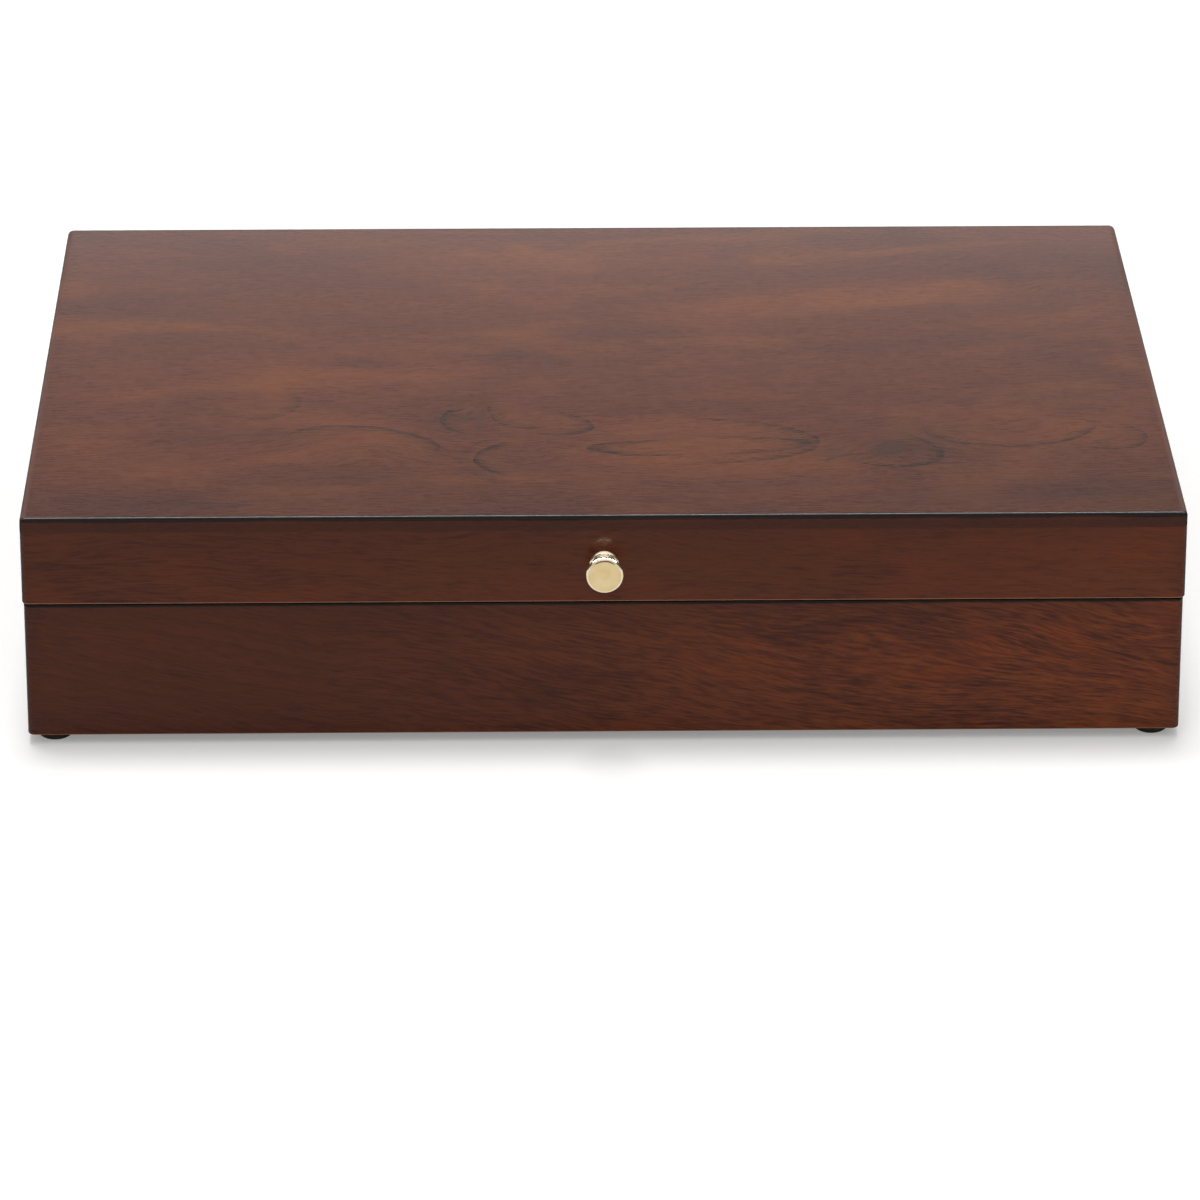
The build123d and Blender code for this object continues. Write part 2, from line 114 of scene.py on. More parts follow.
# power, lean from straight overhead towards the front, and a sun's turn and angle or a box's place and size;
# a sun lights without showing in gloss, and a box shows in gloss without lighting what is matt
lamps = {
    "overheadBox": {"power": 1.48, "lean": -9, "turn": 12, "angle": 18},
    "frontFill": {"power": 0.60, "lean": 42, "turn": -12, "angle": 50},
    # a low box behind, which the lid's lacquer mirrors, more so towards the back
    "lowBackBox": {"power": 3.9, "place": (0, 0.80, 0.17), "lean": -90, "size": (2.4, 0.30)},
    # a long high strip behind, which draws the light line along the lid's rounded arris
    "highBackStrip": {"power": 66.0, "place": (0, 0.55, 1.15), "lean": -27, "size": (3.0, 0.22)},
    # panels overhead and high in front, which the brass and the arrises mirror
    "ceilingPanel": {"power": 6.0, "place": (0, 0.10, 1.70), "lean": 0, "size": (1.8, 0.9)},
    "highFrontPanel": {"power": 11.0, "place": (0, -1.65, 1.10), "lean": 56, "size": (3.0, 1.2)},
}
for name, look in lamps.items():
    lamp = newObject(name, bpy.data.lights.new(name, "SUN" if "angle" in look else "AREA"))
    lamp.data.energy = look["power"]
    lean, swing = math.radians(look["lean"]), math.radians(look.get("turn", 0))
    shines = Vector((-math.sin(lean) * math.sin(swing), math.sin(lean) * math.cos(swing), -math.cos(lean)))
    lamp.rotation_euler = shines.to_track_quat("-Z", "Y").to_euler()
    lamp.visible_camera = False
    if "angle" in look:
        lamp.data.angle = math.radians(look["angle"])
        lamp.visible_glossy = False
    else:
        lamp.location, lamp.data.shape = look["place"], "RECTANGLE"
        lamp.data.size, lamp.data.size_y = look["size"]
        lamp.visible_diffuse = False

room = {
    "backdrop": 1.0,             # what the camera sees behind everything
    "horizonBack": 0.13,
    "horizonFront": 0.10,
    "ceiling": 0.45,
    "rise": (0.35, 0.85),        # the sine of the elevation at which horizon turns to ceiling
    "floorSize": 14.0,
    "floorColour": "#f2f2f1",
    "floorLift": 0.265,          # added for the camera alone, so that the shadow stays on a white floor
}
world = bpy.data.worlds.new("studio")
world.use_nodes = True
scene.world = world
tree = world.node_tree
tree.nodes.clear()
path = addNode(tree, "LightPath")
way = addNode(tree, "SeparateXYZ", [addNode(tree, "TexCoord").outputs["Generated"]])
around = addNode(tree, "MapRange", [
    way.outputs["Y"], -0.7, 0.7, room["horizonFront"], room["horizonBack"]], interpolation_type="SMOOTHSTEP")
height = addNode(tree, "MapRange", [way.outputs["Z"], *room["rise"]], interpolation_type="SMOOTHSTEP")
walls = addNode(tree, "Mix", [height, around, room["ceiling"]])
seen = addNode(tree, "Math", [
    path.outputs["Is Camera Ray"], path.outputs["Is Transmission Ray"]], operation="MAXIMUM")
strength = addNode(tree, "Mix", [seen, walls, room["backdrop"]])
background = addNode(tree, "Background", {"Color": (1, 1, 1, 1), "Strength": strength})
addNode(tree, "OutputWorld", {"Surface": background})

bpy.ops.mesh.primitive_plane_add(size=room["floorSize"], location=(0, 0, 0))
floorPlane = bpy.context.object
floorPlane.name = "floor"
material, tree = newMaterial("paleFloor")
path = addNode(tree, "LightPath")
paper = addNode(tree, "BsdfDiffuse", {"Color": linear(room["floorColour"])})
lift = addNode(tree, "Math", [path.outputs["Is Camera Ray"], room["floorLift"]], operation="MULTIPLY")
glow = addNode(tree, "Emission", {"Color": (1, 1, 1, 1), "Strength": lift})
both = addNode(tree, "AddShader", [paper, glow])
addNode(tree, "OutputMaterial", {"Surface": both})
floorPlane.data.materials.append(material)
print("camera, lights and floor ready")

# the stained and lacquered cherry veneer that covers the walls and the lid
wood = {
    "shade": "#43241b",          # where the stain has sunk in; also laid on as painted shade towards the front of the lid's top
    "body": "#602f1e",
    "warm": "#7f4122",           # where it stays thin
    "line": "#291310",           # a growth line
    "edge": "#120f10",           # stain built up on the arrises
    "paintedLowHighlight": "#b98462",         # painted highlight: the pale line where a lower arris mirrors the bright floor
    "fibre": (5.6 * mm, 0.46 * mm, 0.46 * mm),
    "pore": (3.6 * mm, 0.34 * mm, 0.34 * mm),    # real pores are 0.1 mm wide; drawn coarser so that they show
    "streak": (31 * mm, 3.2 * mm, 3.2 * mm),
    "cloud": (105 * mm, 52 * mm, 52 * mm),
    "patch": (70 * mm, 26 * mm, 26 * mm),
    "sway": (120 * mm, 46 * mm, 46 * mm),
    "wobble": (24 * mm, 16 * mm, 16 * mm),
    "bow": 6 * mm,               # how far a drawn line wavers
    "lineFall": 0.25,            # per mm of reach: how fast a drawn line fades inwards
    "lipping": (1.9 * mm, 1.5 * mm),             # below the top: where the lipping starts and is gone
    "toned": (1 * mm, 14 * mm),                  # from an arris: where the deeper tone starts and is gone
    "stained": (1.0 * mm, 1.5 * mm, 0.96),       # the same for the dark line on it, and how dark that is
    "lowArris": (0.3 * mm, 0.55 * mm, 0.7),      # above the bottom: where the painted highlight on the lower arris ends, and how pale
    "lowOuter": (0.2 * mm, 0.45 * mm),           # and how far in from the face
    "dulledBand": (0.9 * mm, 3.0 * mm),          # from a side or back arris: where the lacquer is dull
    "roughness": 0.27,
    "bump": 0.04 * mm,
}


def veneer(name, look):
    # Sliced cherry veneer, stained dark red and sprayed with satin lacquer: short dark fibres, soft warm
    # streaks, and thin growth lines that bend round the eyes of the figure; the arrises hold more stain.
    along, across = look["along"], look["across"]
    depth = 3 - along - across
    slope = [0.0, 0.0, 0.0]
    slope[depth] = math.radians(look["slope"])
    material, tree = newMaterial(name)
    place = addNode(tree, "TexCoord").outputs["Object"]
    laid = addNode(tree, "Mapping", {
        "Vector": place, "Location": look["shift"], "Rotation": slope}, vector_type="TEXTURE")
    axes = addNode(tree, "SeparateXYZ", [laid])
    u, v, w = (axes.outputs[i] for i in (along, across, depth))
    level = addNode(tree, "CombineXYZ", [u, v, w])

    # the grain's course: it sways slowly and is pushed aside round each eye
    swaying = addNode(tree, "Mapping", {"Vector": level, "Scale": wood["sway"]}, vector_type="TEXTURE")
    sway = addNode(tree, "TexNoise", {
        "Vector": swaying, "Scale": 1.0, "Detail": 2.0, "Roughness": 0.45, "Distortion": 0.3})
    pushed = addNode(tree, "MapRange", [sway, 0.25, 0.75, -look["sway"], look["sway"]])
    bent = addNode(tree, "Math", [v, pushed], operation="ADD")
    murk = addNode(tree, "Math", [0.0, 0.0], operation="ADD")
    for eyeU, eyeV, reachU, reachV, rise, dark in look["eyes"]:
        spot = addNode(tree, "Mapping", {
            "Vector": level, "Location": (eyeU * mm, eyeV * mm, 0), "Scale": (reachU * mm, reachV * mm, 1)},
            vector_type="TEXTURE")
        away = addNode(tree, "VectorMath", [spot], operation="LENGTH").outputs["Value"]
        lifted = addNode(tree, "MapRange", [away, 0.0, 1.0, rise * mm, 0.0], interpolation_type="SMOOTHERSTEP")
        bent = addNode(tree, "Math", [bent, lifted], operation="ADD")
        murk = addNode(tree, "Math", [lifted, -dark / (rise * mm), murk], operation="MULTIPLY_ADD")
    flow = addNode(tree, "CombineXYZ", [u, bent, w])

    # each layer follows the grain or lies level across it
    layers = {}
    for key, course, detail, rough, twist in (
            ("fibre", flow, 3.0, 0.6, 0.0), ("pore", flow, 2.0, 0.5, 0.0), ("streak", flow, 4.0, 0.55, 0.25),
            ("cloud", level, 2.0, 0.5, 0.6), ("patch", flow, 3.0, 0.5, 0.8)):
        size = [s * look["coarse"] for s in wood[key]] if key in ("fibre", "pore") else wood[key]
        sized = addNode(tree, "Mapping", {"Vector": course, "Scale": size}, vector_type="TEXTURE")
        layers[key] = addNode(tree, "TexNoise", {
            "Vector": sized, "Scale": 1.0, "Detail": detail, "Roughness": rough, "Distortion": twist})

    # growth lines that close round the eyes: each ends sharply outside and fades inwards
    jitter = addNode(tree, "Mapping", {"Vector": level, "Scale": wood["wobble"]}, vector_type="TEXTURE")
    jitter = addNode(tree, "TexNoise", {"Vector": jitter, "Scale": 1.0, "Detail": 2.0, "Roughness": 0.5})
    bow = wood["bow"]
    bowed = addNode(tree, "VectorMath", [
        jitter.outputs["Color"], (bow, bow, 0.0), level], operation="MULTIPLY_ADD")
    drawn = addNode(tree, "Math", [0.0, 0.0], operation="ADD")
    for arcU, arcV, reachU, reachV, aim, dark in look["arcs"]:
        spot = addNode(tree, "Mapping", {
            "Vector": bowed, "Location": (arcU * mm + bow / 2, arcV * mm + bow / 2, 0),
            "Rotation": (0, 0, math.radians(aim)), "Scale": (reachU * mm, reachV * mm, 1)}, vector_type="TEXTURE")
        spot = addNode(tree, "VectorMath", [spot, (1, 1, 0)], operation="MULTIPLY")
        away = addNode(tree, "VectorMath", [spot], operation="LENGTH").outputs["Value"]
        inside = addNode(tree, "Math", [away, 1.0], operation="LESS_THAN")
        rise = addNode(tree, "Math", [away, wood["lineFall"] * math.sqrt(reachU * reachV)], operation="POWER")
        ahead = addNode(tree, "SeparateXYZ", [spot])
        fading = addNode(tree, "MapRange", [ahead.outputs[0], -0.3, 0.45, 0.0, dark])
        line = inside
        for fall in (rise, fading):
            line = addNode(tree, "Math", [line, fall], operation="MULTIPLY")
        drawn = addNode(tree, "Math", [drawn, line], operation="MAXIMUM")

    # the fibres break each line up, as they do where a knife has cut across them
    broken = addNode(tree, "MapRange", [layers["fibre"], 0.35, 0.6, 1.45, 0.7])
    drawn = addNode(tree, "Math", [drawn, broken], operation="MULTIPLY")

    # how dark or warm each spot is; the three layers' shares are set so that the mean stays at 0.53
    tone = addNode(tree, "Math", [murk, 0.53 + look["tone"] - sum(look["shares"]) / 2], operation="ADD")
    for key, share in zip(("cloud", "streak", "fibre"), look["shares"]):
        tone = addNode(tree, "Math", [layers[key], share, tone], operation="MULTIPLY_ADD")
    ramp = addNode(tree, "ValToRGB", [tone])
    stops = ramp.color_ramp.elements
    stops[0].position, stops[0].color = 0.40, linear(wood["shade"])
    stops[1].position, stops[1].color = 0.66, linear(wood["warm"])
    stops.new(0.53).color = linear(wood["body"])
    reddened = addNode(tree, "MapRange", [layers["patch"], 0.5, 0.72, 0.0, look["glow"]])
    pored = addNode(tree, "MapRange", [layers["pore"], 0.56, 0.68, 0.0, look["pores"]])

    # growth lines: each darkens slowly, ends sharply, and shows only in places
    wavy = addNode(tree, "Math", [layers["streak"], 2.6 * mm, bent], operation="MULTIPLY_ADD")
    phase = addNode(tree, "Math", [wavy, look["lineGap"]], operation="DIVIDE")
    tooth = addNode(tree, "Math", [phase], operation="FRACT")
    sharp = addNode(tree, "MapRange", [tooth, 0.0, 0.16, 1.0, 0.0])
    soft = addNode(tree, "MapRange", [tooth, 0.45, 1.0, 0.0, 0.5])
    ring = addNode(tree, "Math", [sharp, soft], operation="MAXIMUM")
    shown = addNode(tree, "MapRange", [layers["cloud"], 0.4, 0.6, 0.25 * look["lines"], look["lines"]])
    front = addNode(tree, "MapRange", [v, *look["figured"], 1.0, 0.12])
    shown = addNode(tree, "Math", [shown, front], operation="MULTIPLY")
    ring = addNode(tree, "Math", [ring, shown], operation="MULTIPLY")
    halo = addNode(tree, "Math", [drawn, 0.3], operation="POWER")
    halo = addNode(tree, "Math", [halo, 0.4], operation="MULTIPLY")
    ring = addNode(tree, "Math", [ring, drawn], operation="MAXIMUM")

    # below the rounded arris the sheet's edge carries the darker lipping
    corner = addNode(tree, "SeparateXYZ", [place]).outputs
    above = look["high"][2]
    lipped = addNode(tree, "MapRange", [
        corner[2], above - wood["lipping"][0], above - wood["lipping"][1], look["lipping"], 0.0])

    # distance to the nearest outer arris: the second smallest distance to the faces
    nearest, second, far = None, None, None
    for axis, side, reach in look["faces"]:
        face = (look["low"] if side < 0 else look["high"])[axis]
        gap = addNode(tree, "Math", [corner[axis], -side / reach, side * face / reach], operation="MULTIPLY_ADD")
        if axis == 0 or (axis == 1 and side > 0):
            inward = addNode(tree, "Math", [corner[axis], -side, side * face], operation="MULTIPLY_ADD")
            far = inward if far is None else addNode(tree, "Math", [far, inward], operation="MINIMUM")
        if nearest is None:
            nearest = gap
            continue
        larger = addNode(tree, "Math", [nearest, gap], operation="MAXIMUM")
        if second is not None:
            larger = addNode(tree, "Math", [second, larger], operation="MINIMUM")
        second = larger
        nearest = addNode(tree, "Math", [nearest, gap], operation="MINIMUM")
    ragged = addNode(tree, "Math", [layers["streak"], 0.6 * mm, second], operation="MULTIPLY_ADD")
    toned = addNode(tree, "MapRange", [ragged, *wood["toned"], look["edgeTone"], 0.0],
                    interpolation_type="SMOOTHSTEP")
    # darker towards one end; on the lid's top this is painted shade, its front darkened where the lacquer mirrors
    # less of the bright backdrop
    way, fadeFrom, fadeTo, depthOfFade = look["fade"]
    darkened = addNode(tree, "MapRange", [(u, v)[way], fadeFrom * mm, fadeTo * mm, depthOfFade, 0.0])
    stained = addNode(tree, "MapRange", [ragged, *wood["stained"], 0.0])
    # a painted highlight along each lower arris, standing in for its reflection of the bright floor
    bottom, (lowFrom, lowTo, lowShare) = look["low"][2], wood["lowArris"]
    lowest = addNode(tree, "MapRange", [corner[2], bottom + lowFrom, bottom + lowTo, lowShare, 0.0])
    outer = addNode(tree, "MapRange", [nearest, *wood["lowOuter"], 1.0, 0.0])
    paintedLowHighlight = addNode(tree, "Math", [lowest, outer], operation="MULTIPLY")

    # each mask lays its colour over what is there
    colour = ramp
    for mask, laidOver in ((reddened, look["glowColour"]), (pored, wood["shade"]), (halo, look["glowColour"]),
                           (ring, wood["line"]), (lipped, wood["shade"]), (toned, wood["shade"]),
                           (darkened, wood["shade"]), (stained, wood["edge"]), (paintedLowHighlight, wood["paintedLowHighlight"])):
        colour = addNode(tree, "Mix", [mask, colour, linear(laidOver)], data_type="RGBA")

    grain = addNode(tree, "Math", [layers["fibre"], pored], operation="SUBTRACT")
    relief = addNode(tree, "Bump", {"Strength": 0.3, "Distance": wood["bump"], "Height": grain})
    gloss = addNode(tree, "MapRange", [
        layers["fibre"], 0.3, 0.7, wood["roughness"] - 0.03, wood["roughness"] + 0.05])
    # the lacquer is rubbed dull along the side and back arrises
    dulled = addNode(tree, "MapRange", [far, *wood["dulledBand"], look["dulled"], 0.0])
    gloss = addNode(tree, "Math", [gloss, dulled], operation="MAXIMUM")
    skin = addNode(tree, "BsdfPrincipled", {
        "Base Color": colour, "Roughness": gloss, "IOR": 1.5, "Specular IOR Level": 0.11, "Normal": relief,
        "Coat Weight": 0.07, "Coat Roughness": 0.12})
    addNode(tree, "OutputMaterial", {"Surface": skin})
    return material


def outerBox(faces, *names):
    # the outer faces of a group of nodes, and the group's lowest and highest corner
    lows, highs = zip(*(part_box(n) for n in names))
    return {"faces": faces, "low": [min(c) for c in zip(*lows)], "high": [max(c) for c in zip(*highs)]}


# a face: axis, side, and how far the stain reaches in from it beside the others
baseBox = outerBox([(0, -1, 0.7), (0, 1, 0.7), (1, -1, 1.0), (1, 1, 1.0), (2, 1, 1.0)],
                   "base_front_wall", "base_back_wall", "base_left_wall", "base_right_wall")
lidBox = outerBox([(0, -1, 0.6), (0, 1, 0.6), (1, -1, 1.9), (1, 1, 2.2), (2, 1, 1.45)],
                  "lid_front_wall", "lid_back_wall", "lid_top_panel")

# what the walls' veneers share: their growth lines don't fade, and none are listed one by one
wallLook = {"across": 2, "arcs": [], "figured": (1.0, 2.0), "lipping": 0.0, "dulled": 0.0,
            "coarse": 1.5, "glowColour": "#91431f"}
frontLook = {**wallLook, "along": 0, "pores": 0.5, "tone": 0.09}
endLook = {**wallLook, "along": 1, "pores": 0.42, "tone": -0.02, "eyes": [], "glow": 0.35,
           "lineGap": 3.4 * mm, "shares": (0.26, 0.22, 0.36), "fade": (0, -190, 190, 0.2)}

# eyes of the figure: place along and across, reach along and across, how far the grain is pushed in mm, and
# how much darker it is there; arcs: place, reach ahead and aside, the way the arc bulges in degrees, and depth
veneerLooks = {
    "cherryVeneerLid": {
        **lidBox, "nodes": ["lid_top_panel"],
        "along": 0, "across": 1, "slope": 2.0, "shift": (0, 0, 0), "sway": 6 * mm, "lines": 0.04, "glow": 0.42,
        "eyes": [(-84, -72, 40, 30, -10, 0.01), (-50, -54, 22, 24, 4, 0.04), (-32, -88, 22, 26, 4, 0.03),
                 (34, -80, 50, 18, -5, 0.0), (98, -84, 30, 22, -6, 0.0), (138, -74, 34, 24, 6, 0.0),
                 (-49, -47, 13, 12, 1, 0.11), (-46, -100, 16, 7, 1, 0.09), (103, -84, 22, 14, 1, 0.16),
                 (75, -88, 11, 8, 1, 0.15), (-83, 6, 26, 10, 1, 0.07), (-31, 12, 16, 16, 1, 0.04),
                 (-112, -48, 46, 16, 1, -0.08), (-84, -66, 24, 12, 1, -0.07), (40, -60, 60, 18, 1, -0.05),
                 (-150, -122, 60, 18, 2, 0.06), (110, -52, 50, 16, 1, -0.05),
                 (165, -125, 70, 24, 1, 0.09)],
        "arcs": [(-84, -72, 18, 27, 68, 0.96), (-122, -28, 20, 16, -50, 0.69), (-47, -50, 9, 13, 180, 1.0),
                 (-27, -46, 13, 15, 215, 0.8), (-35, -87, 11, 15, 175, 1.0), (-34, -89, 17, 22, 180, 0.57),
                 (-23, -54, 20, 11, -22, 0.96), (29, -80, 37, 8, 180, 1.0), (31, -79, 38, 9, 2, 1.0),
                 (22, -74, 50, 22, -4, 0.8), (86, -98, 11, 15, 90, 0.8), (90, -80, 27, 17, -42, 1.0),
                 (138, -64, 21, 30, -88, 0.96), (140, -60, 33, 42, -90, 0.46), (168, -74, 18, 14, -38, 0.8)],
        # fade: painted shade, darker towards the top's front, where less of the bright backdrop is mirrored
        "edgeTone": 0.2, "fade": (1, -140, 0, 0.36), "pores": 0.14, "figured": (-50 * mm, 30 * mm),
        "lineGap": 8.5 * mm, "shares": (0.22, 0.10, 0.22), "tone": 0.02, "lipping": 0.75, "dulled": 0.8,
        "coarse": 1.0, "glowColour": "#92521f",
    },
    "cherryVeneerLidFront": {
        **lidBox, **frontLook, "nodes": ["lid_front_wall", "lid_back_wall"], "slope": 2.5,
        "shift": (0.31, 0.2, 0.07), "sway": 6 * mm, "lines": 0.22, "glow": 0.95, "edgeTone": 0.3,
        "eyes": [(-280, 0, 170, 300, 1, -0.08), (-500, 0, 110, 300, 1, 0.03)],
        "fade": (0, -190, 30, 0.62), "lineGap": 3.4 * mm, "shares": (0.34, 0.46, 0.84),
    },
    "cherryVeneerBaseFront": {
        **baseBox, **frontLook, "nodes": ["base_front_wall", "base_back_wall"], "slope": 9.0,
        "shift": (0.12, 0.05, 0.21), "sway": 5 * mm, "lines": 0.40, "glow": 0.72, "edgeTone": 0.35,
        "eyes": [(58, -176, 130, 300, 1, 0.05)],
        "fade": (0, -190, 60, 0.75), "lineGap": 5.5 * mm, "shares": (0.34, 0.40, 0.72),
    },
    "cherryVeneerLidEnd": {
        **lidBox, **endLook, "nodes": ["lid_left_wall", "lid_right_wall"], "slope": 2.0,
        "shift": (0.4, 0.1, 0.02), "sway": 6 * mm, "lines": 0.22, "edgeTone": 0.3,
    },
    "cherryVeneerBaseEnd": {
        **baseBox, **endLook, "nodes": ["base_left_wall", "base_right_wall"], "slope": -4.0,
        "shift": (0.2, 0.33, 0.15), "sway": 8 * mm, "lines": 0.3, "edgeTone": 0.35,
    },
}


def dress(material, *names):
    for name in names:
        slots = nodes[name].data.materials
        if len(slots) == 0:
            slots.append(material)
        for slot in nodes[name].material_slots:
            slot.material = material


for name, look in veneerLooks.items():
    dress(veneer(name, look), *look["nodes"])


def plywood(name, look):
    # Rotary-cut birch plywood, stained and sanded: broad soft figure, matt, with the sanding left in it.
    material, tree = newMaterial(name)
    place = addNode(tree, "TexCoord").outputs["Object"]
    wide = addNode(tree, "Mapping", {"Vector": place, "Scale": look["figure"]}, vector_type="TEXTURE")
    figure = addNode(tree, "TexNoise", {
        "Vector": wide, "Scale": 1.0, "Detail": 4.0, "Roughness": 0.5, "Distortion": 1.2})
    fine = addNode(tree, "Mapping", {"Vector": place, "Scale": look["fibre"]}, vector_type="TEXTURE")
    fibre = addNode(tree, "TexNoise", {"Vector": fine, "Scale": 1.0, "Detail": 3.0, "Roughness": 0.6})
    tone = addNode(tree, "Mix", [0.4, figure, fibre])
    spread = addNode(tree, "MapRange", [tone, 0.35, 0.65])
    colour = addNode(tree, "Mix", [spread, linear(look["dark"]), linear(look["pale"])], data_type="RGBA")
    relief = addNode(tree, "Bump", {"Strength": 0.5, "Distance": look["relief"], "Height": fibre})
    rough = addNode(tree, "MapRange", [fibre, 0.3, 0.7, 0.55, 0.7])
    skin = addNode(tree, "BsdfPrincipled", {
        "Base Color": colour, "Roughness": rough, "IOR": 1.5, "Specular IOR Level": 0.4, "Normal": relief})
    addNode(tree, "OutputMaterial", {"Surface": skin})
    return material


dress(plywood("birchPlywoodSanded", {
    "dark": "#3a2117", "pale": "#6a4029", "relief": 0.08 * mm,
    "figure": (180 * mm, 30 * mm, 30 * mm),
    "fibre": (14 * mm, 0.6 * mm, 0.6 * mm)}), "base_bottom_panel")
print("wood dressed")


def metal(name, look):
    # Turned, rolled or plated metal: bright, with fine tool marks and a slightly uneven, softly worn polish.
    material, tree = newMaterial(name)
    place = addNode(tree, "TexCoord").outputs["Object"]
    fine = addNode(tree, "Mapping", {"Vector": place, "Scale": look["marks"]}, vector_type="TEXTURE")
    marks = addNode(tree, "TexNoise", {"Vector": fine, "Scale": 1.0, "Detail": 3.0, "Roughness": 0.6})
    bloom = addNode(tree, "TexNoise", {
        "Vector": place, "Scale": 1 / look["bloom"], "Detail": 3.0, "Roughness": 0.5})
    spread = addNode(tree, "MapRange", [bloom, 0.35, 0.65])
    colour = addNode(tree, "Mix", [spread, linear(look["colour"]), linear(look["aged"])], data_type="RGBA")
    relief = addNode(tree, "Bump", {"Strength": look["markStrength"], "Distance": 0.01 * mm, "Height": marks})
    if "faced" in look:
        # the flat face keeps its lacquer; the rim and everything turned behind it is buffed pale
        low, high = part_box(look["faced"])
        shifted = addNode(tree, "VectorMath", [place, (low + high) / 2], operation="SUBTRACT")
        flat = addNode(tree, "VectorMath", [shifted, (1, 0, 1)], operation="MULTIPLY")
        radius = addNode(tree, "VectorMath", [flat], operation="LENGTH").outputs["Value"]
        rim = (high.x - low.x) / 2 - look["rim"]
        outside = addNode(tree, "MapRange", [radius, rim, rim + 0.1 * mm])
        back = low.y + look["faceDepth"]
        behind = addNode(tree, "SeparateXYZ", [place]).outputs[1]
        behind = addNode(tree, "MapRange", [behind, back, back + 0.1 * mm])
        turned = addNode(tree, "Math", [outside, behind], operation="MAXIMUM")
        colour = addNode(tree, "Mix", [turned, colour, linear(look["buffed"])], data_type="RGBA")
        # the face falls away a little before the rim
        crown = addNode(tree, "MapRange", [radius, rim - look["fallWidth"], rim, 1.0, 0.0])
        relief = addNode(tree, "Bump", {
            "Strength": 1.0, "Distance": look["fall"], "Height": crown, "Normal": relief})
    rough = addNode(tree, "MapRange", [bloom, 0.3, 0.7, *look["roughness"]])
    skin = addNode(tree, "BsdfPrincipled", {
        "Base Color": colour, "Metallic": 1.0, "Roughness": rough, "Normal": relief})
    addNode(tree, "OutputMaterial", {"Surface": skin})
    return material


dress(metal("polishedBrassTurned", {
    "colour": "#eed8a9", "aged": "#e6c993", "buffed": "#fff2d8", "faced": "knob",
    "roughness": (0.08, 0.14), "markStrength": 0.15,
    "rim": 0.8 * mm, "faceDepth": 0.3 * mm, "fallWidth": 0.45 * mm, "fall": 0.11 * mm,
    "marks": (6 * mm, 0.25 * mm, 6 * mm), "bloom": 4 * mm}), "knob")
hingeBrass = metal("hingeBrassRolled", {
    "colour": "#d6b46c", "aged": "#b98f4a", "roughness": (0.26, 0.36), "markStrength": 0.5,
    "marks": (9 * mm, 0.2 * mm, 0.2 * mm), "bloom": 4 * mm})
dress(metal("screwSteelZincPlated", {
    "colour": "#b9bbbd", "aged": "#a3a6a8", "roughness": (0.28, 0.4), "markStrength": 0.3,
    "marks": (0.3 * mm, 0.3 * mm, 0.3 * mm), "bloom": 2 * mm}), "knob_screw")
dress(hingeBrass, "base_hinge_leaf_left", "base_hinge_leaf_right", "lid_hinge_leaf_left", "lid_hinge_leaf_right",
      "hinge_pin_left", "hinge_pin_right")


def rubber(name, look):
    # Moulded soft rubber: near black, matt, with a fine pitted skin and soft patches of dust.
    material, tree = newMaterial(name)
    place = addNode(tree, "TexCoord").outputs["Object"]
    pits = addNode(tree, "TexNoise", {"Vector": place, "Scale": 1 / look["pit"], "Detail": 3.0, "Roughness": 0.6})
    dust = addNode(tree, "TexNoise", {"Vector": place, "Scale": 1 / look["dust"], "Detail": 3.0, "Roughness": 0.5})
    dusty = addNode(tree, "MapRange", [dust, 0.4, 0.75])
    colour = addNode(tree, "Mix", [dusty, linear(look["colour"]), linear(look["dusty"])], data_type="RGBA")
    relief = addNode(tree, "Bump", {"Strength": 0.4, "Distance": look["relief"], "Height": pits})
    rough = addNode(tree, "MapRange", [pits, 0.3, 0.7, 0.5, 0.66])
    skin = addNode(tree, "BsdfPrincipled", {"Base Color": colour, "Roughness": rough, "IOR": 1.5, "Normal": relief})
    addNode(tree, "OutputMaterial", {"Surface": skin})
    return material


dress(rubber("feetRubberMoulded", {
    "colour": "#15110f", "dusty": "#2a2420", "pit": 0.5 * mm, "dust": 5 * mm, "relief": 0.06 * mm}),
    "foot_front_left", "foot_front_right", "foot_back_left", "foot_back_right")
print("metal and rubber dressed")

screws = {
    "headRadius": 2.1 * mm,
    "coreRadius": 0.86 * mm,
    "threadReach": 0.24 * mm,
    "threadPitch": 1.0 * mm,
    "headDepth": 1.15 * mm,      # an 82 degree countersink down to the shank
    "length": 8.0 * mm,
    "tip": 2.0 * mm,
    "recessLength": 2.5 * mm,
    "recessWidth": 0.55 * mm,
    "recessDepth": 0.8 * mm,
    "seed": 4,
    "hinges": (-112, 112),
    "pitch": 13,                 # between the three screws of a leaf
}


def meshFrom(name, points, faces):
    mesh = bpy.data.meshes.new(name)
    mesh.from_pydata([tuple(p) for p in points], [], faces)
    return mesh


